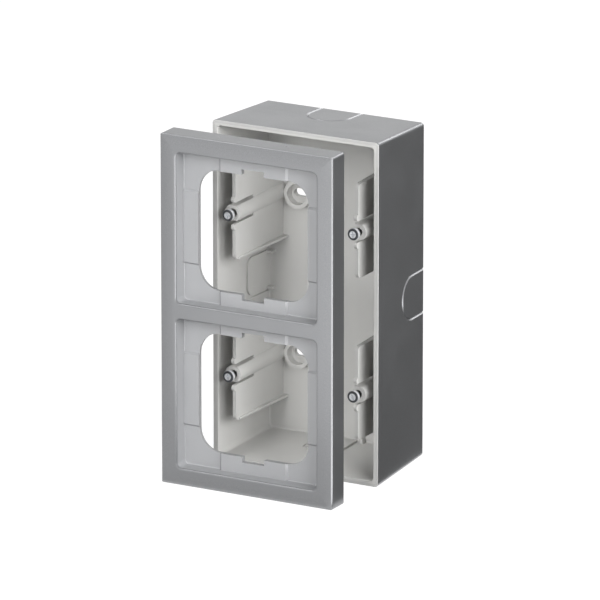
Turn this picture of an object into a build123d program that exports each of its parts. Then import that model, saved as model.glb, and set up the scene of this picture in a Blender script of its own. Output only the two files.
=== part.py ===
"""Surface mount back box for two wiring devices, with its cover frame and device screws.

Millimetres. +Z is up and the box opens towards -Y. The origin is the centre of the face
that lies on the wall. The cover frame stands in front of the box, taken off it.
"""
import os
from math import atan, degrees

from build123d import *

# Box shell
BOX_WIDTH = 79.5  # across the rim
BOX_HEIGHT = 150.5  # up the rim
BOX_DEPTH = 44.0  # from the wall to the rim
BOX_LEAN = 1.75  # draft: how far each side leans in from the rim to the wall
BOX_CORNER = 1.6  # radius of the four long edges
BOX_BACK_ROUND = 1.0
RIM_ROUND = 0.3
WALL = 2.4
REAR_WALL = 2.0
INNER_ROUND = 0.8  # where the sides meet the rear wall inside

# Raised panel of the rear wall
PANEL_BORDER = 1.6
PANEL_RISE = 0.5
PANEL_CORNER = 3.0

# Device positions, both gangs alike
GANG_PITCH = 71.0
SCREW_SPACING = 60.0

# Carrier plates that hold the screw posts
PLATE_HEIGHT = 41.0
PLATE_THICK = 1.5
PLATE_INSET = 0.6  # from the screws' axes to the middle of the plates, which stand closer together
PLATE_CORNER = 2.2
TONGUE_HEIGHT = 6.6  # left between the two slits that free the screw post
SLIT_WIDTH = 1.4
SLIT_LENGTH = 15.5
NUB_RADIUS = 1.3
LIP_THICK = 1.0
LIP_FRONT = 0.6
LIP_REAR = 2.6

# Screw posts
POST_DIAMETER = 7.6
POST_MOUTH = 4.0
POST_MOUTH_DEPTH = 0.8

# Wall fixings
FIXING_SPACING = 40.0
FIXING_SLOT_LENGTH = 6.6
FIXING_SLOT_WIDTH = 3.6
BOSS_DIAMETER = 12.4
BOSS_BORE = 9.2
BOSS_HEIGHT = 3.9

# Knock-outs, one in each side, with a thicker web and two ribs inside
KNOCKOUT_WIDTH = 20.4
KNOCKOUT_REACH = 21.4  # from the wall face to the tip of its rounded end
KNOCKOUT_ASIDE = 1.2  # to the left, at the top and the bottom
GROOVE_WIDTH = 1.2
GROOVE_DEPTH = 0.55
GROOVE_SLOPE = 45  # degrees, of both flanks outside
WEB_WIDTH = 17.0
WEB_REACH = 20.3
WEB_CORNER = 4.0
WEB_RISE = 0.6
WEB_GROOVE_DEPTH = 0.4
SIDE_RIB_SPACING = 16.0
END_RIB_SPACING = 24.0
RIB_THICK = 1.2
RIB_LENGTH = 3.0
RIB_HEIGHT = 3.2

# Device screws
SCREW_DIAMETER = 3.2
SCREW_LENGTH = 20.0  # under the head
SCREW_OUT = 2.9  # how far the head stands off its post
SCREW_CLEARANCE = 0.05
HEAD_DIAMETER = 5.1
HEAD_HEIGHT = 1.8
HEAD_BEVEL = 0.55
CROSS_LENGTH = 2.9
CROSS_WIDTH = 0.8
CROSS_DEPTH = 1.1
TIP_BEVEL = 0.6
BORE_SPARE = 4.0  # bore beyond the screw's tip

# Cover frame
FRAME_OVERHANG = 1.25  # past the box rim, all round
FRAME_DEPTH = 10.5
FRAME_GAP = 27.0  # in front of the rim, where the frame stands
FRAME_ASIDE = 3.0  # to the left of the box
FRAME_CORNER = 1.2
FRAME_EDGE_ROUND = 0.8
BEZEL = 7.6
BAR = 6.9  # between the two windows
CROWN_FALL = 0.5  # how far the bezel falls to its outer edge
CROWN_FLAT = 1.6  # flat strip next to the windows
WINDOW_CORNER = 2.2
WINDOW_EDGE_ROUND = 0.9
RECESS_DEPTH = 7.2
RECESS_ROUND = 0.5
FLANGE_THICK = 1.4
OPENING = 52.2
OPENING_CORNER = 9.8
NOTCH_WIDTH = 10.6
NOTCH_DEPTH = 2.4
PAD_LENGTH = 32.6
PAD_RISE = 0.9
SKIRT = 1.8
FRONT_SKIN = 2.0
RECESS_WALL = 1.5

# Worked out from the sizes above
FRAME_WIDTH = BOX_WIDTH + 2 * FRAME_OVERHANG
FRAME_HEIGHT = BOX_HEIGHT + 2 * FRAME_OVERHANG
FRAME_BACK = BOX_DEPTH + FRAME_GAP
WINDOW_WIDTH = FRAME_WIDTH - 2 * BEZEL
WINDOW_HEIGHT = (FRAME_HEIGHT - 2 * BEZEL - BAR) / 2
WINDOW_PITCH = WINDOW_HEIGHT + BAR
POST_BORE = SCREW_DIAMETER + 2 * SCREW_CLEARANCE
BOX_DRAFT = degrees(atan(BOX_LEAN / BOX_DEPTH))
GANG_LEVELS = (-GANG_PITCH / 2, GANG_PITCH / 2)
SIDES = (-1, 1)


def level(depth):
    """Plane that faces the front, this far in front of the wall."""
    return Plane.XZ.offset(depth)


def frame_level(depth):
    """Plane on the cover frame's axis that faces the front, this far from the frame's back."""
    centre = (-FRAME_ASIDE, -FRAME_BACK - depth, FRAME_OVERHANG)
    return Plane(origin=centre, x_dir=(1, 0, 0), z_dir=(0, -1, 0))


def box_outline(depth, inset):
    """Width and height of the leaning box at a depth, this far inside its outer face."""
    lean = BOX_LEAN * (1 - depth / BOX_DEPTH)
    return BOX_WIDTH - 2 * (lean + inset), BOX_HEIGHT - 2 * (lean + inset)


def along_depth(edge):
    """Tells whether an edge runs between the front and the wall."""
    return abs(edge.tangent_at(0.5).Y) > 0.9


def side_plane(outward, half_size, aside):
    """Plane on a leaning side: x runs to the front from the wall edge, y along the side."""
    to_wall = Vector(0, 1, 0)
    return Plane(
        origin=outward * (half_size - BOX_LEAN) - Vector(aside, 0, 0),
        x_dir=outward * BOX_LEAN - to_wall * BOX_DEPTH,
        z_dir=outward * BOX_DEPTH + to_wall * BOX_LEAN,
    )


def knockout_shape(inset, mode=Mode.ADD):
    """Tongue from past the wall edge to a round end, drawn in the open sketch."""
    radius = KNOCKOUT_WIDTH / 2
    centre = KNOCKOUT_REACH - radius
    with Locations((centre, 0)):
        Circle(radius - inset, mode=mode)
    with Locations(((centre - WALL) / 2, 0)):
        Rectangle(centre + WALL, 2 * (radius - inset), mode=mode)


def web_shape(outset, mode=Mode.ADD):
    """Rounded rectangle that starts below the rear wall, drawn in the open sketch."""
    RectangleRounded(2 * (WEB_REACH + outset), WEB_WIDTH + 2 * outset, WEB_CORNER + outset, mode=mode)
    with Locations((-WEB_REACH, 0)):
        Rectangle(2 * WEB_REACH, 2 * WEB_WIDTH, mode=Mode.SUBTRACT)


KNOCKOUTS = [
    (side_plane(Vector(1, 0, 0), BOX_WIDTH / 2, 0), SIDE_RIB_SPACING),
    (side_plane(Vector(-1, 0, 0), BOX_WIDTH / 2, 0), SIDE_RIB_SPACING),
    (side_plane(Vector(0, 0, 1), BOX_HEIGHT / 2, KNOCKOUT_ASIDE), END_RIB_SPACING),
    (side_plane(Vector(0, 0, -1), BOX_HEIGHT / 2, KNOCKOUT_ASIDE), END_RIB_SPACING),
]

# Room inside the box
with BuildPart() as hollow:
    with BuildSketch(level(BOX_DEPTH)):
        Rectangle(BOX_WIDTH - 2 * WALL, BOX_HEIGHT - 2 * WALL)
    extrude(amount=REAR_WALL - BOX_DEPTH, taper=BOX_DRAFT)
    fillet(hollow.edges().filter_by(along_depth), BOX_CORNER)
    fillet(hollow.faces().sort_by(Axis.Y)[-1].edges(), INNER_ROUND)

with BuildPart() as back_box:
    # Leaning shell, open to the front
    with BuildSketch(level(BOX_DEPTH)):
        Rectangle(BOX_WIDTH, BOX_HEIGHT)
    extrude(amount=-BOX_DEPTH, taper=BOX_DRAFT)
    fillet(back_box.edges().filter_by(along_depth), BOX_CORNER)
    fillet(back_box.faces().sort_by(Axis.Y)[-1].edges(), BOX_BACK_ROUND)
    add(hollow.part, mode=Mode.SUBTRACT)
    fillet(back_box.faces().sort_by(Axis.Y)[0].edges(), RIM_ROUND)

    # Raised panel of the rear wall, cut back between the ribs of each knock-out
    panel_width, panel_height = box_outline(REAR_WALL, WALL + PANEL_BORDER)
    with BuildSketch(level(REAR_WALL)):
        RectangleRounded(panel_width, panel_height, PANEL_CORNER)
        with GridLocations(panel_width, 0, 2, 1):
            Rectangle(2 * PANEL_BORDER, SIDE_RIB_SPACING, mode=Mode.SUBTRACT)
        with Locations((-KNOCKOUT_ASIDE, 0)):
            with GridLocations(0, panel_height, 1, 2):
                Rectangle(END_RIB_SPACING, 2 * PANEL_BORDER, mode=Mode.SUBTRACT)
    extrude(amount=PANEL_RISE)

    # Knock-outs: a sloping groove outside, a web in a shallow groove and two ribs inside
    for plane, rib_spacing in KNOCKOUTS:
        inside = plane.offset(-WALL)
        with BuildSketch(plane):
            knockout_shape(0)
            knockout_shape(GROOVE_WIDTH, mode=Mode.SUBTRACT)
        extrude(amount=-GROOVE_DEPTH, taper=GROOVE_SLOPE, mode=Mode.SUBTRACT)
        with BuildSketch(inside):
            web_shape(GROOVE_WIDTH)
            Rectangle(2 * REAR_WALL, 2 * WEB_WIDTH, mode=Mode.SUBTRACT)
        extrude(amount=WEB_GROOVE_DEPTH, mode=Mode.SUBTRACT)
        with BuildSketch(inside.offset(WEB_GROOVE_DEPTH)):
            web_shape(0)
        extrude(amount=-WEB_GROOVE_DEPTH - WEB_RISE)
        with BuildSketch(inside):
            with Locations((REAR_WALL + RIB_LENGTH / 2, 0)):
                with GridLocations(0, rib_spacing, 1, 2):
                    Rectangle(RIB_LENGTH, RIB_THICK)
        extrude(amount=-RIB_HEIGHT)

    # Carrier plates with their nubs and stiffening lips
    plate_length = BOX_DEPTH - REAR_WALL
    nub_offset = TONGUE_HEIGHT / 2 + SLIT_WIDTH + NUB_RADIUS
    for side in SIDES:
        plate_x = side * (SCREW_SPACING / 2 - PLATE_INSET)
        inner_x = plate_x - side * PLATE_THICK / 2
        for gang_z in GANG_LEVELS:
            with BuildSketch(Plane.YZ.offset(plate_x)) as plate:
                with Locations((-REAR_WALL - plate_length / 2, gang_z)):
                    Rectangle(plate_length, PLATE_HEIGHT)
                fillet(plate.vertices().sort_by(Axis.X)[:2], PLATE_CORNER)
                with Locations((-BOX_DEPTH, gang_z)):
                    with GridLocations(0, 2 * nub_offset, 1, 2):
                        Circle(NUB_RADIUS)
            extrude(amount=PLATE_THICK / 2, both=True)
            for end in SIDES:
                lip_z = gang_z + end * (PLATE_HEIGHT - LIP_THICK) / 2
                with BuildSketch(Plane.XY.offset(lip_z)):
                    with BuildLine():
                        Polyline(
                            (inner_x, -REAR_WALL),
                            (inner_x - side * LIP_REAR, -REAR_WALL),
                            (inner_x - side * LIP_FRONT, -BOX_DEPTH + PLATE_CORNER),
                            (inner_x, -BOX_DEPTH + PLATE_CORNER),
                            close=True,
                        )
                    make_face()
                extrude(amount=LIP_THICK / 2, both=True)

    # Screw posts, each freed by two slits and bored for its screw
    with BuildSketch(level(REAR_WALL)):
        with GridLocations(SCREW_SPACING, GANG_PITCH, 2, 2):
            Circle(POST_DIAMETER / 2)
    extrude(amount=BOX_DEPTH - REAR_WALL)
    with BuildSketch(level(BOX_DEPTH)):
        with GridLocations(SCREW_SPACING, GANG_PITCH, 2, 2):
            with GridLocations(0, TONGUE_HEIGHT + SLIT_WIDTH, 1, 2):
                Rectangle(POST_DIAMETER, SLIT_WIDTH)
    extrude(amount=-SLIT_LENGTH, mode=Mode.SUBTRACT)
    with Locations(level(BOX_DEPTH)):
        with GridLocations(SCREW_SPACING, GANG_PITCH, 2, 2):
            CounterBoreHole(
                radius=POST_BORE / 2,
                counter_bore_radius=POST_MOUTH / 2,
                counter_bore_depth=POST_MOUTH_DEPTH,
                depth=SCREW_LENGTH - SCREW_OUT + BORE_SPARE,
            )

    # Wall fixings: a ring on the rear wall round each slotted hole
    with BuildSketch(level(REAR_WALL)):
        with GridLocations(FIXING_SPACING, GANG_PITCH, 2, 2):
            Circle(BOSS_DIAMETER / 2)
            Circle(BOSS_BORE / 2, mode=Mode.SUBTRACT)
    extrude(amount=PANEL_RISE + BOSS_HEIGHT)
    with BuildSketch(level(0)):
        with GridLocations(FIXING_SPACING, GANG_PITCH, 2, 2):
            SlotOverall(FIXING_SLOT_LENGTH, FIXING_SLOT_WIDTH)
    extrude(amount=REAR_WALL + PANEL_RISE, mode=Mode.SUBTRACT)

with BuildPart() as device_screws:
    head_seat = BOX_DEPTH + SCREW_OUT
    with BuildSketch(level(head_seat - SCREW_LENGTH)):
        with GridLocations(SCREW_SPACING, GANG_PITCH, 2, 2):
            Circle(SCREW_DIAMETER / 2)
    extrude(amount=SCREW_LENGTH)
    chamfer(device_screws.edges().group_by(Axis.Y)[-1], TIP_BEVEL)
    with BuildSketch(level(head_seat)):
        with GridLocations(SCREW_SPACING, GANG_PITCH, 2, 2):
            Circle(HEAD_DIAMETER / 2)
    extrude(amount=HEAD_HEIGHT)
    chamfer(device_screws.edges().group_by(Axis.Y)[0], HEAD_BEVEL)
    with BuildSketch(level(head_seat + HEAD_HEIGHT)):
        with GridLocations(SCREW_SPACING, GANG_PITCH, 2, 2):
            Rectangle(CROSS_LENGTH, CROSS_WIDTH)
            Rectangle(CROSS_WIDTH, CROSS_LENGTH)
    extrude(amount=-CROSS_DEPTH, mode=Mode.SUBTRACT)

with BuildPart() as cover_frame:
    # Block whose front falls off in a soft curve towards each rounded outer edge
    with BuildSketch(frame_level(0)):
        RectangleRounded(FRAME_WIDTH, FRAME_HEIGHT, FRAME_CORNER)
    extrude(amount=FRAME_DEPTH)
    crown_width = BEZEL - CROWN_FLAT
    front_middle = frame_level(FRAME_DEPTH).origin
    across = Plane(origin=front_middle, x_dir=(1, 0, 0), z_dir=(0, 0, 1))
    upwards = Plane(origin=front_middle, x_dir=(0, 0, 1), z_dir=(-1, 0, 0))
    for size, plane in ((FRAME_WIDTH, across), (FRAME_HEIGHT, upwards)):
        flat = size / 2 - crown_width
        with BuildSketch(plane) as section:
            with BuildLine():
                Line((-flat, 0), (flat, 0))
                TangentArc((flat, 0), (size / 2, CROWN_FALL), tangent=(1, 0))
                Polyline(
                    (size / 2, CROWN_FALL),
                    (size / 2, FRAME_DEPTH),
                    (-size / 2, FRAME_DEPTH),
                    (-size / 2, CROWN_FALL),
                )
                TangentArc((-flat, 0), (-size / 2, CROWN_FALL), tangent=(-1, 0))
            make_face()
            fillet(section.vertices().group_by(Axis.Y)[1], FRAME_EDGE_ROUND)
        extrude(amount=FRAME_HEIGHT, both=True, mode=Mode.INTERSECT)

    # Windows sunk into the front, down to the flange
    with BuildSketch(frame_level(FRAME_DEPTH)):
        with GridLocations(0, WINDOW_PITCH, 1, 2):
            RectangleRounded(WINDOW_WIDTH, WINDOW_HEIGHT, WINDOW_CORNER)
    extrude(amount=-RECESS_DEPTH, mode=Mode.SUBTRACT)
    front = cover_frame.faces().filter_by(Axis.Y).sort_by(Axis.Y)[0]
    fillet(front.inner_wires().edges(), WINDOW_EDGE_ROUND)
    flanges = cover_frame.faces().filter_by(Axis.Y).sort_by(Axis.Y)[1:3]
    fillet(flanges.edges(), RECESS_ROUND)

    # Raised pads along the middle of each flange side, with sloping ends
    flange_front = FRAME_DEPTH - RECESS_DEPTH
    for width, height, pitch in (
        (PAD_LENGTH, WINDOW_HEIGHT + 2 * PAD_RISE, WINDOW_PITCH),
        (WINDOW_WIDTH + 2 * PAD_RISE, PAD_LENGTH, GANG_PITCH),
    ):
        with BuildSketch(frame_level(flange_front)):
            with GridLocations(0, pitch, 1, 2):
                Rectangle(width, height)
        extrude(amount=PAD_RISE, taper=45)

    # Device openings through the flange
    with BuildSketch(frame_level(0)):
        with GridLocations(0, GANG_PITCH, 1, 2):
            RectangleRounded(OPENING, OPENING, OPENING_CORNER)
            Rectangle(NOTCH_WIDTH, OPENING + 2 * NOTCH_DEPTH)
    extrude(amount=FRAME_DEPTH, mode=Mode.SUBTRACT)

    # Hollow back
    flange_back = flange_front - FLANGE_THICK
    with BuildSketch(frame_level(0)):
        Rectangle(FRAME_WIDTH - 2 * SKIRT, FRAME_HEIGHT - 2 * SKIRT)
    extrude(amount=flange_back, mode=Mode.SUBTRACT)
    with BuildSketch(frame_level(flange_back)):
        Rectangle(FRAME_WIDTH - 2 * SKIRT, FRAME_HEIGHT - 2 * SKIRT)
        with GridLocations(0, WINDOW_PITCH, 1, 2):
            Rectangle(
                WINDOW_WIDTH + 2 * RECESS_WALL,
                WINDOW_HEIGHT + 2 * RECESS_WALL,
                mode=Mode.SUBTRACT,
            )
    extrude(amount=FRAME_DEPTH - FRONT_SKIN - flange_back, mode=Mode.SUBTRACT)

back_box.part.label = "back_box"
device_screws.part.label = "device_screws"
cover_frame.part.label = "cover_frame"
os.makedirs("parts", exist_ok=True)
export_step(back_box.part, "parts/back_box.step")
export_step(device_screws.part, "parts/device_screws.step")
export_step(cover_frame.part, "parts/cover_frame.step")
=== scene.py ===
"""Looks of the surface mount back box: its finishes, its device screws, the studio and the camera.

Metres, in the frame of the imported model: +Z is up, the box opens towards -Y, and the origin is
the centre of the face that lies on the wall.
"""
import logging
import math
from collections.abc import Callable
from dataclasses import dataclass
from enum import Enum

import bpy
from mathutils import Matrix, Vector


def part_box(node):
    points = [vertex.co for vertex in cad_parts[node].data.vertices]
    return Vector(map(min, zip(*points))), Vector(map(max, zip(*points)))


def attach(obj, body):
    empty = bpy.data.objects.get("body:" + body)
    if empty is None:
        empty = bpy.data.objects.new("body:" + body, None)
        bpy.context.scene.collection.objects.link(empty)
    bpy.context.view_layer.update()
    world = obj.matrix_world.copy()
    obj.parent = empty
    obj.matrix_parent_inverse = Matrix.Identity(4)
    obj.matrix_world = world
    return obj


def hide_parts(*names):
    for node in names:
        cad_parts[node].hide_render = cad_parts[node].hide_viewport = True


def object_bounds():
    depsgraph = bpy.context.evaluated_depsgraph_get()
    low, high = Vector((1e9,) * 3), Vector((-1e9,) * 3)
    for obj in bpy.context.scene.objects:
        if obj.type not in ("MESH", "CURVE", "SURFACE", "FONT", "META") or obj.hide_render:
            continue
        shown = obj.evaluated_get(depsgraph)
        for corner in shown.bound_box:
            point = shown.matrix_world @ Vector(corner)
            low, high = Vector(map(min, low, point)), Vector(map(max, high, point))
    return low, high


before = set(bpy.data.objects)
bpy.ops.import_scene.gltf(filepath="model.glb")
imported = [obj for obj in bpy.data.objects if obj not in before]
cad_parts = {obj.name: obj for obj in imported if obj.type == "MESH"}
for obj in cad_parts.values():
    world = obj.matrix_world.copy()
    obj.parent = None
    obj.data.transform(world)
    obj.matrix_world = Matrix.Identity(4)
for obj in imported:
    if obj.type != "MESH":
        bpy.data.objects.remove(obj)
CAD_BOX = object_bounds()

MM = 0.001
NEAR = 0.001  # how close two places are that count as one, in the unit at hand
WHITE = (1.0, 1.0, 1.0, 1.0)
BLACK = (0.0, 0.0, 0.0, 1.0)
LOG = logging.getLogger("back_box")

Triple = tuple[float, float, float]
Colour = Triple
Span = tuple[float, float]  # where a change starts and where it ends
Socket = bpy.types.NodeSocket
Feed = Socket | float | Colour  # what an input can be given


class Slot(Enum):
    """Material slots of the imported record."""

    BOX = "box_plastic"
    FRAME = "frame_plastic"
    SCREW = "screw_steel"


class Node(Enum):
    """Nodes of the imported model."""

    BOX = "back_box"
    FRAME = "cover_frame"
    SCREWS = "device_screws"


class Shading:
    """Node tree of one material, with short ways to add the nodes that its finish needs."""

    def __init__(self, name: str) -> None:
        """Starts a material with one principled shader.

        Args:
            name: Name of the material.
        """
        self.material = bpy.data.materials.new(name)
        self.material.use_nodes = True
        self.tree = self.material.node_tree
        self.shader = self.tree.nodes["Principled BSDF"]
        self.place = self.tree.nodes.new("ShaderNodeTexCoord").outputs["Object"]
        split = self.tree.nodes.new("ShaderNodeSeparateXYZ")
        self.tree.links.new(self.place, split.inputs[0])
        self.x, self.y, self.z = split.outputs

    def feed(self, socket: Socket, value: Feed) -> None:
        """Links an input to an output, or sets it to a plain value.

        Args:
            socket: Input.
            value: Output, number or colour.
        """
        if isinstance(value, Socket):
            self.tree.links.new(value, socket)
        elif isinstance(value, tuple):
            socket.default_value = (*value, 1.0)
        else:
            socket.default_value = value

    def give(self, name: str, value: Feed) -> None:
        """Feeds the shader's own input of this name."""
        self.feed(self.shader.inputs[name], value)

    def math(self, operation: str, *values: Feed) -> Socket:
        """Adds one step of arithmetic.

        Args:
            operation: Name of the step, as the node lists it.
            values: Numbers or outputs that it works on.

        Returns:
            Output with the result.
        """
        node = self.tree.nodes.new("ShaderNodeMath")
        node.operation = operation
        for socket, value in zip(node.inputs, values):
            self.feed(socket, value)
        return node.outputs[0]

    def ramp(self, value: Socket, span: Span, low: float = 0.0, high: float = 1.0) -> Socket:
        """Goes smoothly from one number to another while a value passes through a span.

        Args:
            value: Output that is followed.
            span: Values at which the result is low and high.
            low: Result before the span.
            high: Result after the span.

        Returns:
            Output with the result.
        """
        node = self.tree.nodes.new("ShaderNodeMapRange")
        node.interpolation_type = "SMOOTHSTEP"
        for socket, number in zip(node.inputs, (value, *span, low, high)):
            self.feed(socket, number)
        return node.outputs[0]

    def band(self, value: Socket, span: Span, blur: float) -> Socket:
        """Picks out where a value lies within a span.

        Args:
            value: Output that is followed.
            span: Least and greatest value.
            blur: Half the width of both soft ends.

        Returns:
            Output that is 1 within the span.
        """
        start, end = ((place - blur, place + blur) for place in span)
        return self.math("MULTIPLY", self.ramp(value, start), self.ramp(value, end, 1.0, 0.0))

    def noise(self, grain: float, detail: float, stretch: Triple = (1.0, 1.0, 1.0)) -> Socket:
        """Adds noise whose patches are about this large.

        Args:
            grain: Size of a patch.
            detail: Octaves of finer noise.
            stretch: How much longer the patches are along each axis.

        Returns:
            Output with numbers around a half.
        """
        mapping = self.tree.nodes.new("ShaderNodeMapping")
        mapping.inputs["Scale"].default_value = [1.0 / (grain * longer) for longer in stretch]
        self.feed(mapping.inputs["Vector"], self.place)
        node = self.tree.nodes.new("ShaderNodeTexNoise")
        node.inputs["Scale"].default_value = 1.0
        node.inputs["Detail"].default_value = detail
        self.feed(node.inputs["Vector"], mapping.outputs[0])
        return node.outputs[0]

    def mix(self, share: Socket, low: Feed, high: Feed) -> Socket:
        """Mixes two colours.

        Args:
            share: Share of the second colour.
            low: First colour or output.
            high: Second colour or output.

        Returns:
            Output with the colour.
        """
        node = self.tree.nodes.new("ShaderNodeMix")
        node.data_type = "RGBA"
        inputs = (socket for socket in node.inputs if socket.enabled)
        for socket, value in zip(inputs, (share, low, high)):
            self.feed(socket, value)
        return next(socket for socket in node.outputs if socket.enabled)

    def bump(self, height: Socket, strength: float) -> None:
        """Roughens the surface.

        Args:
            height: Output with the relief in metres.
            strength: Share of it that shows.
        """
        node = self.tree.nodes.new("ShaderNodeBump")
        node.inputs["Distance"].default_value = 1.0
        node.inputs["Strength"].default_value = strength
        self.feed(node.inputs["Height"], height)
        self.give("Normal", node.outputs[0])


@dataclass(frozen=True)
class SilverPaint:
    """Satin silver paint with fine metal flakes."""

    colour: Colour = (0.275, 0.279, 0.288)
    flake_colour: Colour = (0.315, 0.319, 0.328)
    metallic: float = 0.9
    roughness: float = 0.36
    flake: float = 0.25 * MM
    flake_span: Span = (0.4, 0.7)  # noise between plain paint and a flake
    peel: float = 1.1 * MM  # waves of the sprayed coat
    peel_depth: float = 0.006 * MM


@dataclass(frozen=True)
class BarePlastic:
    """Moulded plastic as it comes out of the tool, with faint flow marks."""

    colour: Colour = (0.60, 0.597, 0.582)
    flow_colour: Colour = (0.63, 0.627, 0.612)
    metallic: float = 0.0
    roughness: float = 0.5
    flow: float = 18 * MM
    flow_stretch: Triple = (1.0, 1.0, 2.5)
    flow_span: Span = (0.3, 0.7)  # noise between both colours
    grain: float = 0.4 * MM
    grain_depth: float = 0.012 * MM


@dataclass(frozen=True)
class ZincPlate:
    """Bright zinc on steel, with shade painted as a dark ring on the face of the head."""

    colour: Colour = (0.84, 0.85, 0.87)
    stain_colour: Colour = (0.70, 0.72, 0.75)
    # painted shade: the head's face is coloured dark in a ring round the cross
    painted_shade_colour: Colour = (0.05, 0.053, 0.06)
    metallic: float = 0.35
    roughness: float = 0.3
    ring_roughness: float = 0.5
    stain: float = 0.4 * MM
    stain_span: Span = (0.35, 0.65)  # noise between both zinc colours
    ring_start: Span = (1.4 * MM, 1.65 * MM)  # radius at which the painted shade starts
    ring_end: Span = (0.2 * MM, 0.5 * MM)  # depth behind the face at which the painted shade ends


@dataclass(frozen=True)
class PaintedMoulding:
    """Plastic moulding that is painted where it shows and bare elsewhere."""

    name: str
    paint: SilverPaint
    plastic: BarePlastic
    polish: float = 0.24  # how much less rough the smooth places are
    touch: Span = (-0.02, 0.03)  # change of roughness from handling
    touch_span: Span = (0.35, 0.7)  # noise between both
    relief: float = 0.6  # share of the fine relief that shows

    def apply(self, shading: Shading, painted: Socket, smooth: Feed = 0.0) -> bpy.types.Material:
        """Lays the paint over the plastic.

        Args:
            shading: Material that is built.
            painted: Output that is 1 where there is paint.
            smooth: Number or output that is 1 where the surface is smoother.

        Returns:
            The finished material.
        """
        coat, base = self.paint, self.plastic
        flakes = shading.ramp(shading.noise(coat.flake, 1.0), coat.flake_span)
        paint = shading.mix(flakes, coat.colour, coat.flake_colour)
        flow = shading.ramp(shading.noise(base.flow, 3.0, base.flow_stretch), base.flow_span)
        plastic = shading.mix(flow, base.colour, base.flow_colour)
        shading.give("Base Color", shading.mix(painted, plastic, paint))

        whole = (0.0, 1.0)
        shading.give("Metallic", shading.ramp(painted, whole, base.metallic, coat.metallic))
        rough = shading.ramp(painted, whole, base.roughness, coat.roughness)
        touched = shading.ramp(shading.noise(base.flow, 4.0), self.touch_span, *self.touch)
        rough = shading.math("ADD", rough, touched)
        shading.give("Roughness", shading.math("MULTIPLY_ADD", smooth, -self.polish, rough))

        peel = shading.math("MULTIPLY", shading.noise(coat.peel, 1.0), coat.peel_depth)
        grain = shading.math("MULTIPLY", shading.noise(base.grain, 3.0), base.grain_depth)
        more = shading.math("SUBTRACT", peel, grain)
        shading.bump(shading.math("MULTIPLY_ADD", painted, more, grain), self.relief)
        return shading.material


def start_solid() -> None:
    """Deselects everything, so that the next operators act on the new piece alone."""
    if bpy.context.mode != "OBJECT":
        bpy.ops.object.mode_set(mode="OBJECT")
    bpy.ops.object.select_all(action="DESELECT")


def select_edges(piece: bpy.types.Object, wanted: Callable[[Vector, Vector], bool]) -> None:
    """Selects edges of a piece by the places of their ends.

    Args:
        piece: Mesh in object mode.
        wanted: Tells from both ends whether an edge is selected.
    """
    bpy.ops.object.mode_set(mode="EDIT")
    bpy.ops.mesh.select_mode(type="EDGE")
    bpy.ops.mesh.select_all(action="DESELECT")
    bpy.ops.object.mode_set(mode="OBJECT")
    points = piece.data.vertices
    for edge in piece.data.edges:
        edge.select = wanted(*(points[i].co for i in edge.vertices))


def dress(node: Node, material: bpy.types.Material) -> None:
    """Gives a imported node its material.

    Args:
        node: Node that is dressed.
        material: Finished material.
    """
    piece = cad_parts[node.value]
    piece.data.materials.clear()
    piece.data.materials.append(material)
    LOG.info("%s dressed with %s", node.value, material.name)


@dataclass
class BackBox:
    """The box moulding: painted on its leaning sides, bare inside and at the wall."""

    depth: float = 44.0 * MM
    lean: float = 1.75 * MM  # of each side, from the wall to the rim
    skin: Span = (1.2 * MM, 1.44 * MM)  # depth within the sides at which the paint ends
    rim_edge: Span = (0.06 * MM, 0.18 * MM)  # behind the rim, where the full paint starts
    rim_paint: float = 0.2  # share of it that reaches the rim
    wall_edge: Span = (-0.6 * MM, -0.1 * MM)  # where it ends at the wall

    def painted(self, shading: Shading) -> Socket:
        """Finds the outside of the leaning sides.

        Args:
            shading: Material that is built.

        Returns:
            Output that is 1 on the outside.
        """
        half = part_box(Node.BOX.value)[1]
        lean = shading.math("MULTIPLY_ADD", shading.y, -self.lean / self.depth, -self.lean)
        aside = shading.math("SUBTRACT", shading.math("ABSOLUTE", shading.x), half.x)
        above = shading.math("SUBTRACT", shading.math("ABSOLUTE", shading.z), half.z)
        inside = shading.math("SUBTRACT", lean, shading.math("MAXIMUM", aside, above))
        skin = shading.ramp(inside, self.skin, 1.0, 0.0)
        behind_rim = shading.math("ADD", shading.y, self.depth)
        front = shading.ramp(behind_rim, self.rim_edge, self.rim_paint, 1.0)
        back = shading.ramp(shading.y, self.wall_edge, 1.0, 0.0)
        return shading.math("MULTIPLY", skin, shading.math("MULTIPLY", front, back))

    def dress(self, finish: PaintedMoulding) -> None:
        """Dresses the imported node.

        Args:
            finish: Paint and plastic.
        """
        shading = Shading(finish.name)
        dress(Node.BOX, finish.apply(shading, self.painted(shading)))


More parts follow.
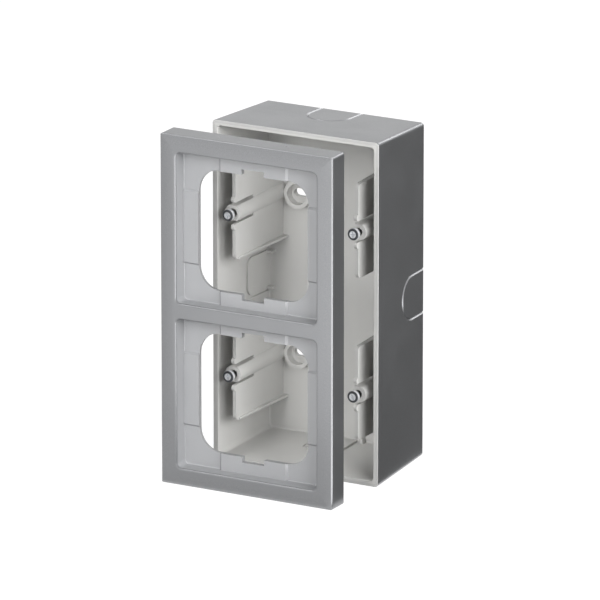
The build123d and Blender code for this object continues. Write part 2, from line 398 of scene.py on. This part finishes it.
@dataclass
class CoverFrame:
    """The frame moulding: painted on its front and edge, bare in its recesses and behind."""

    skin: Span = (0.9 * MM, 1.1 * MM)  # depth within the edge at which the paint ends
    window_edge: Span = (0.63 * MM, 0.99 * MM)  # behind the front, where it ends in the windows
    recess_depth: float = 7.2 * MM
    pad_reach: float = 16.3 * MM  # from the middle to the foot of a pad's sloping end
    pad_rise: float = 0.9 * MM
    blur: float = 0.1 * MM

    def painted(self, shading: Shading) -> Socket:
        """Finds the front and the outer edge.

        Args:
            shading: Material that is built.

        Returns:
            Output that is 1 on the front and on the edge.
        """
        low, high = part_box(Node.FRAME.value)
        centre, half = (low + high) / 2, (high - low) / 2
        aside = shading.math("ABSOLUTE", shading.math("SUBTRACT", shading.x, centre.x))
        above = shading.math("ABSOLUTE", shading.math("SUBTRACT", shading.z, centre.z))
        from_side = shading.math("SUBTRACT", half.x, aside)
        from_end = shading.math("SUBTRACT", half.z, above)
        edge = shading.ramp(shading.math("MINIMUM", from_side, from_end), self.skin, 1.0, 0.0)
        behind_front = shading.math("SUBTRACT", shading.y, low.y)
        front = shading.ramp(behind_front, self.window_edge, 1.0, 0.0)
        return shading.math("MAXIMUM", edge, front)

    def pad_ends(self, shading: Shading) -> Socket:
        """Finds the sloping ends of the pads above and below the openings.

        Args:
            shading: Material that is built.

        Returns:
            Output that is 1 on these ends.
        """
        low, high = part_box(Node.FRAME.value)
        middle = (low.x + high.x) / 2
        aside = shading.math("ABSOLUTE", shading.math("SUBTRACT", shading.x, middle))
        slope = shading.band(aside, (self.pad_reach - self.pad_rise, self.pad_reach), self.blur)
        behind_front = shading.math("SUBTRACT", shading.y, low.y)
        top = self.recess_depth - self.pad_rise
        depths = (top - self.blur, self.recess_depth + self.blur)
        return shading.math("MULTIPLY", slope, shading.band(behind_front, depths, self.blur))

    def dress(self, finish: PaintedMoulding) -> None:
        """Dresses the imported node.

        Args:
            finish: Paint and plastic.
        """
        shading = Shading(finish.name)
        material = finish.apply(shading, self.painted(shading), self.pad_ends(shading))
        dress(Node.FRAME, material)


class ScrewPlace(Enum):
    """Posts that hold a screw, as signs along X and Z."""

    UPPER_LEFT = (-1, 1)
    UPPER_RIGHT = (1, 1)
    LOWER_LEFT = (-1, -1)
    LOWER_RIGHT = (1, -1)


class Join(Enum):
    """What is done with a tool and the piece it meets."""

    ADD = "UNION"
    CUT = "DIFFERENCE"


@dataclass
class DeviceScrew:
    """Pan head screw with a cut thread, modelled once in millimetres and copied to the posts."""

    spacing: float = 60.0  # from post to post across
    gang_pitch: float = 71.0  # from post to post upwards
    head_radius: float = 2.55
    head_height: float = 1.8
    head_sides: int = 48
    head_bevel: float = 0.45
    bevel_steps: int = 4
    cross_length: float = 3.5
    cross_width: float = 0.95
    cross_depth: float = 1.15
    cross_taper: float = 0.55
    thread_radius: float = 1.6
    root_radius: float = 1.22
    thread_pitch: float = 1.2
    flank_share: float = 0.35  # of the pitch, for each of two flanks
    crest_share: float = 0.1
    turn_steps: int = 24
    spare_turns: int = 2  # wound past each end and then cut off
    length: float = 20.0
    overlap: float = 0.45  # of the shank with the head
    smooth_angle: float = math.radians(35)
    drive_turn: float = math.radians(7)  # from one screw to the next

    def thread(self) -> bpy.types.Object:
        """Winds the thread from a profile of one turn and cuts both ends flat.

        Returns:
            Closed shank, which reaches a little into the head.
        """
        start_solid()
        bpy.ops.mesh.primitive_plane_add()
        bpy.ops.object.mode_set(mode="EDIT")
        bpy.ops.mesh.merge(type="CENTER")
        foot = -self.length - self.spare_turns * self.thread_pitch
        bpy.ops.transform.translate(value=(self.root_radius, 0, foot))
        rise = self.thread_radius - self.root_radius
        root_share = 1 - 2 * self.flank_share - self.crest_share
        for outward, share in (
            (rise, self.flank_share),
            (0.0, self.crest_share),
            (-rise, self.flank_share),
            (0.0, root_share),
        ):
            step = (outward, 0, share * self.thread_pitch)
            bpy.ops.mesh.extrude_vertices_move(TRANSFORM_OT_translate={"value": step})
        bpy.ops.object.mode_set(mode="OBJECT")
        shank = bpy.context.object
        winding = shank.modifiers.new("winding", "SCREW")
        winding.screw_offset = self.thread_pitch
        winding.iterations = math.ceil(self.length / self.thread_pitch) + 2 * self.spare_turns
        winding.steps = winding.render_steps = self.turn_steps
        bpy.ops.object.modifier_apply(modifier=winding.name)
        bpy.ops.object.mode_set(mode="EDIT")
        bpy.ops.mesh.select_all(action="SELECT")
        bpy.ops.mesh.remove_doubles(threshold=NEAR)
        for level, outward in ((self.overlap, 1.0), (-self.length, -1.0)):
            bpy.ops.mesh.select_all(action="SELECT")
            bpy.ops.mesh.bisect(
                plane_co=(0, 0, level), plane_no=(0, 0, outward), use_fill=True, clear_outer=True
            )
        bpy.ops.mesh.select_all(action="SELECT")
        bpy.ops.mesh.normals_make_consistent(inside=False)
        bpy.ops.object.mode_set(mode="OBJECT")
        return shank

    def head(self) -> bpy.types.Object:
        """Turns the head: a disc with a rounded rim.

        Returns:
            Closed head that sits on the plane of its seat.
        """
        start_solid()
        bpy.ops.mesh.primitive_cylinder_add(
            vertices=self.head_sides,
            radius=self.head_radius,
            depth=self.head_height,
            location=(0, 0, self.head_height / 2),
        )
        bpy.ops.object.transform_apply(location=True)
        head = bpy.context.object
        select_edges(head, lambda a, b: min(a.z, b.z) > self.head_height - NEAR)
        bpy.ops.object.mode_set(mode="EDIT")
        bpy.ops.mesh.bevel(offset=self.head_bevel, segments=self.bevel_steps, affect="EDGES")
        bpy.ops.object.mode_set(mode="OBJECT")
        return head

    def cross(self) -> list[bpy.types.Object]:
        """Shapes the driver's cross: two wedges that narrow towards their tip.

        Returns:
            Cutters for the recess.
        """
        start_solid()
        tip = self.head_height - self.cross_depth
        wedges = []
        for turn in (math.pi / 2, 0.0):
            bpy.ops.mesh.primitive_cube_add(size=1.0)
            wedge = bpy.context.object
            wedge.scale = (self.cross_length, self.cross_width, 2 * self.cross_depth)
            wedge.location.z = self.head_height
            wedge.rotation_euler.z = turn
            bpy.ops.object.transform_apply()
            bpy.ops.object.mode_set(mode="EDIT")
            bpy.ops.mesh.select_all(action="DESELECT")
            bpy.ops.object.mode_set(mode="OBJECT")
            for polygon in wedge.data.polygons:
                polygon.select = polygon.center.z < tip + NEAR
            bpy.ops.object.mode_set(mode="EDIT")
            bpy.ops.mesh.select_mode(type="FACE")
            bpy.ops.transform.resize(
                value=(self.cross_taper, self.cross_taper, 1.0),
                center_override=(0, 0, self.head_height),
            )
            bpy.ops.object.mode_set(mode="OBJECT")
            wedges.append(wedge)
        return wedges

    def join(self, base: bpy.types.Object, tool: bpy.types.Object, join: Join) -> None:
        """Adds a tool to a base or cuts it out, and throws the tool away.

        Args:
            base: Piece that is kept.
            tool: Piece that is used up.
            join: Which of both.
        """
        start_solid()
        bpy.context.view_layer.objects.active = base
        step = base.modifiers.new("join", "BOOLEAN")
        step.operation, step.object, step.solver = join.value, tool, "EXACT"
        bpy.ops.object.modifier_apply(modifier=step.name)
        bpy.data.objects.remove(tool)

    def build(self, finish: ZincPlate) -> None:
        """Models the screw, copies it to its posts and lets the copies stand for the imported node.

        Args:
            finish: Zinc of all four.
        """
        pattern = self.head()
        for wedge in self.cross():
            self.join(pattern, wedge, Join.CUT)
        self.join(pattern, self.thread(), Join.ADD)
        start_solid()
        pattern.select_set(True)
        bpy.context.view_layer.objects.active = pattern
        bpy.ops.object.shade_smooth_by_angle(angle=self.smooth_angle)
        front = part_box(Node.SCREWS.value)[0].y
        seat = front + self.head_height * MM
        material = self.zinc(finish, front)
        upright = Matrix.Rotation(math.pi / 2, 4, "X")
        for number, place in enumerate(ScrewPlace):
            across, up = place.value
            screw = pattern.copy()
            screw.data = pattern.data.copy()
            screw.name = f"{place.name.lower()}_screw"
            bpy.context.scene.collection.objects.link(screw)
            post = Vector((across * self.spacing / 2 * MM, seat, up * self.gang_pitch / 2 * MM))
            turn = upright @ Matrix.Rotation(number * self.drive_turn, 4, "Z")
            screw.data.transform(Matrix.Translation(post) @ turn @ Matrix.Scale(MM, 4))
            screw.data.materials.clear()
            screw.data.materials.append(material)
            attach(screw, "root")
            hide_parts(Node.SCREWS.value)
            LOG.info("%s has %d faces", screw.name, len(screw.data.polygons))
        bpy.data.objects.remove(pattern)

    def zinc(self, finish: ZincPlate, front: float) -> bpy.types.Material:
        """Plates the screws: bright zinc, with shade painted as a dark ring round the cross.

        Args:
            finish: Colours of the zinc.
            front: Plane of the heads' faces.

        Returns:
            Material for all four screws, whose axes it finds by symmetry.
        """
        shading = Shading("zinc_with_painted_shade")
        across, up = self.spacing / 2 * MM, self.gang_pitch / 2 * MM
        aside = shading.math("SUBTRACT", shading.math("ABSOLUTE", shading.x), across)
        above = shading.math("SUBTRACT", shading.math("ABSOLUTE", shading.z), up)
        above_squared = shading.math("MULTIPLY", above, above)
        radius = shading.math("SQRT", shading.math("MULTIPLY_ADD", aside, aside, above_squared))
        behind_front = shading.math("SUBTRACT", shading.y, front)
        face = shading.ramp(behind_front, finish.ring_end, 1.0, 0.0)
        # painted shade: a dark ring on each head's face, found by radius and depth
        ring = shading.math("MULTIPLY", face, shading.ramp(radius, finish.ring_start))
        stains = shading.ramp(shading.noise(finish.stain, 3.0), finish.stain_span)
        bright = shading.mix(stains, finish.colour, finish.stain_colour)
        shading.give("Base Color", shading.mix(ring, bright, finish.painted_shade_colour))
        shading.give("Metallic", finish.metallic)
        rough = shading.ramp(ring, (0.0, 1.0), finish.roughness, finish.ring_roughness)
        shading.give("Roughness", rough)
        return shading.material


@dataclass(frozen=True)
class Lamp:
    """Soft box that faces the object."""

    name: str
    azimuth: float  # degrees to the right of the front
    elevation: float  # degrees above the horizon
    power: float
    width: float = 0.5
    height: float = 0.5
    distance: float = 1.6
    in_shine: bool = False  # whether shiny surfaces show it

    def add(self, target: Vector) -> None:
        """Adds the lamp.

        Args:
            target: Point that it faces.
        """
        turn, rise = math.radians(self.azimuth), math.radians(self.elevation)
        level = math.cos(rise)
        away = Vector((math.sin(turn) * level, -math.cos(turn) * level, math.sin(rise)))
        data = bpy.data.lights.new(self.name, "AREA")
        data.shape = "RECTANGLE"
        data.size, data.size_y = self.width, self.height
        data.energy = self.power
        lamp = bpy.data.objects.new(self.name, data)
        lamp.location = target + away * self.distance
        lamp.rotation_euler = (-away).to_track_quat("-Z", "Y").to_euler()
        lamp.visible_camera = False
        lamp.visible_glossy = self.in_shine
        bpy.context.scene.collection.objects.link(lamp)


@dataclass(frozen=True)
class Card:
    """Glowing paper on the floor that only shiny surfaces show. Its far edge can be turned up."""

    name: str
    corner: tuple[float, float]  # where its two sides start
    turn: float  # degrees, of its first side from +X
    size: tuple[float, float]
    light: float
    height: float = 0.0  # of the part that is turned up
    lift: float = 1.0 * MM  # off the floor

    def add(self) -> None:
        """Lays the card out."""
        start_solid()
        bpy.ops.mesh.primitive_plane_add(size=1.0)
        card = bpy.context.object
        card.name = self.name
        place = Matrix.Translation((*self.corner, CAD_BOX[0].z + self.lift))
        turn = Matrix.Rotation(math.radians(self.turn), 4, "Z")
        size = Matrix.Diagonal((*self.size, 1.0, 1.0))
        from_corner = Matrix.Translation((0.5, 0.5, 0.0))
        card.data.transform(place @ turn @ size @ from_corner)
        if self.height:
            far = max(point.co.y for point in card.data.vertices) - NEAR
            select_edges(card, lambda a, b: min(a.y, b.y) > far)
            bpy.ops.object.mode_set(mode="EDIT")
            up = (0, 0, self.height)
            bpy.ops.mesh.extrude_region_move(TRANSFORM_OT_translate={"value": up})
            bpy.ops.object.mode_set(mode="OBJECT")
        material = bpy.data.materials.new(self.name)
        material.use_nodes = True
        shader = material.node_tree.nodes["Principled BSDF"]
        shader.inputs["Base Color"].default_value = BLACK
        shader.inputs["Specular IOR Level"].default_value = 0.0
        shader.inputs["Emission Color"].default_value = WHITE
        shader.inputs["Emission Strength"].default_value = self.light
        card.data.materials.append(material)
        card.visible_camera = card.visible_diffuse = False
        card.visible_shadow = card.visible_transmission = False


@dataclass
class Studio:
    """White floor with cards for the shine, soft lamps and a dim room."""

    floor_size: float = 12.0
    floor_bounce: float = 0.35  # how much of the light it throws back at the object
    floor_shadow: float = 0.22  # how much of the light, and so of the shadow, is seen on it
    floor_glow: float = 0.9
    room_light: float = 0.03
    lamps: tuple[Lamp, ...] = (
        Lamp("front_lamp", -2.0, 20.0, 19.0, width=0.45, height=1.3),
        Lamp("side_lamp", 68.0, 21.0, 35.0, width=1.35, height=0.8),
        Lamp("top_lamp", -58.0, 57.0, 2.4, in_shine=True),
        Lamp("back_lamp", 166.0, 28.0, 2.6, in_shine=True),
        Lamp("rear_lamp", 205.0, 15.0, 9.0, width=1.0, height=1.0),
    )
    cards: tuple[Card, ...] = (
        Card("dark_card", (0.0405, -0.086), 0.0, (1.3, 1.4), 0.15, height=0.3),
        Card("bright_card", (0.0385, -0.083), -70.0, (0.9, 0.75), 3.0, lift=2.0 * MM),
        Card("far_card", (-0.75, -1.10), 0.0, (0.82, 0.92), 1.38),
        Card("near_card", (-0.20, -0.18), 0.0, (0.235, 0.0985), 0.8),
        Card("left_card", (-0.045, -0.095), 149.0, (0.5, 0.8), 0.85, lift=2.0 * MM),
    )

    def seen(self, tree: bpy.types.NodeTree) -> Socket:
        """Tells what the eye, a shiny surface or glass sees from what only lights the object.

        Args:
            tree: Node tree that needs it.

        Returns:
            Output that is 1 for what is seen.
        """
        path = tree.nodes.new("ShaderNodeLightPath")
        socket = path.outputs["Is Camera Ray"]
        for other in ("Is Glossy Ray", "Is Transmission Ray"):
            node = tree.nodes.new("ShaderNodeMath")
            node.operation = "MAXIMUM"
            tree.links.new(socket, node.inputs[0])
            tree.links.new(path.outputs[other], node.inputs[1])
            socket = node.outputs[0]
        return socket

    def add_floor(self) -> None:
        """Adds the floor under the lowest point of the object."""
        start_solid()
        place = (0, 0, CAD_BOX[0].z)
        bpy.ops.mesh.primitive_plane_add(size=self.floor_size, location=place)
        floor = bpy.context.object
        floor.name = "floor"
        material = bpy.data.materials.new("white_floor")
        material.use_nodes = True
        tree = material.node_tree
        tree.nodes.clear()
        seen = self.seen(tree)
        paper = tree.nodes.new("ShaderNodeBsdfDiffuse")
        glow = tree.nodes.new("ShaderNodeEmission")
        for socket, unseen_level, seen_level in (
            (paper.inputs["Color"], self.floor_bounce, self.floor_shadow),
            (glow.inputs["Strength"], 0.0, self.floor_glow),
        ):
            level = tree.nodes.new("ShaderNodeMapRange")
            level.inputs["To Min"].default_value = unseen_level
            level.inputs["To Max"].default_value = seen_level
            tree.links.new(seen, level.inputs["Value"])
            tree.links.new(level.outputs[0], socket)
        both = tree.nodes.new("ShaderNodeAddShader")
        tree.links.new(paper.outputs[0], both.inputs[0])
        tree.links.new(glow.outputs[0], both.inputs[1])
        output = tree.nodes.new("ShaderNodeOutputMaterial")
        tree.links.new(both.outputs[0], output.inputs["Surface"])
        floor.data.materials.append(material)

    def add_room(self) -> None:
        """Lights the scene dimly from all round and shows white behind the floor."""
        world = bpy.data.worlds.new("room")
        world.use_nodes = True
        tree = world.node_tree
        background = tree.nodes["Background"]
        level = tree.nodes.new("ShaderNodeMapRange")
        level.inputs["To Min"].default_value = self.room_light
        tree.links.new(self.seen(tree), level.inputs["Value"])
        tree.links.new(level.outputs[0], background.inputs["Strength"])
        background.inputs["Color"].default_value = WHITE
        bpy.context.scene.world = world

    def build(self) -> None:
        """Sets up floor, cards, room and lamps."""
        self.add_floor()
        for card in self.cards:
            card.add()
        self.add_room()
        centre = (CAD_BOX[0] + CAD_BOX[1]) / 2
        for lamp in self.lamps:
            lamp.add(centre)
        bpy.context.scene.view_settings.view_transform = "Standard"


@dataclass
class PhotoCamera:
    """Camera of the photograph: far off, to the right of the front and a little above."""

    place: Triple = (1.612, -2.972, 0.9948)
    yaw: float = math.radians(-28.80)
    pitch: float = math.radians(-16.55)
    sensor: float = 36.0
    focal_share: float = 8287 / 600  # focal length over the width of the picture
    reach: float = 50.0

    def build(self) -> None:
        """Adds the camera and makes it the scene's own."""
        data = bpy.data.cameras.new("photo_camera")
        data.sensor_width = self.sensor
        data.lens = self.sensor * self.focal_share
        data.clip_end = self.reach
        camera = bpy.data.objects.new("photo_camera", data)
        level = math.cos(self.pitch)
        across, along = math.sin(self.yaw) * level, math.cos(self.yaw) * level
        ahead = Vector((across, along, math.sin(self.pitch)))
        camera.location = self.place
        camera.rotation_euler = ahead.to_track_quat("-Z", "Y").to_euler()
        bpy.context.scene.collection.objects.link(camera)
        bpy.context.scene.camera = camera


def main() -> None:
    """Builds the camera and the studio, dresses both mouldings and models the screws."""
    logging.basicConfig(level=logging.INFO)
    PhotoCamera().build()
    Studio().build()
    paint = SilverPaint()
    BackBox().dress(PaintedMoulding("box_finish", paint, BarePlastic()))
    recess = BarePlastic(
        colour=(0.35, 0.354, 0.364),
        flow_colour=(0.37, 0.374, 0.384),
        metallic=0.12,
        roughness=0.36,
    )
    CoverFrame().dress(PaintedMoulding("frame_finish", paint, recess))
    DeviceScrew().build(ZincPlate())


if __name__ == "__main__":
    main()
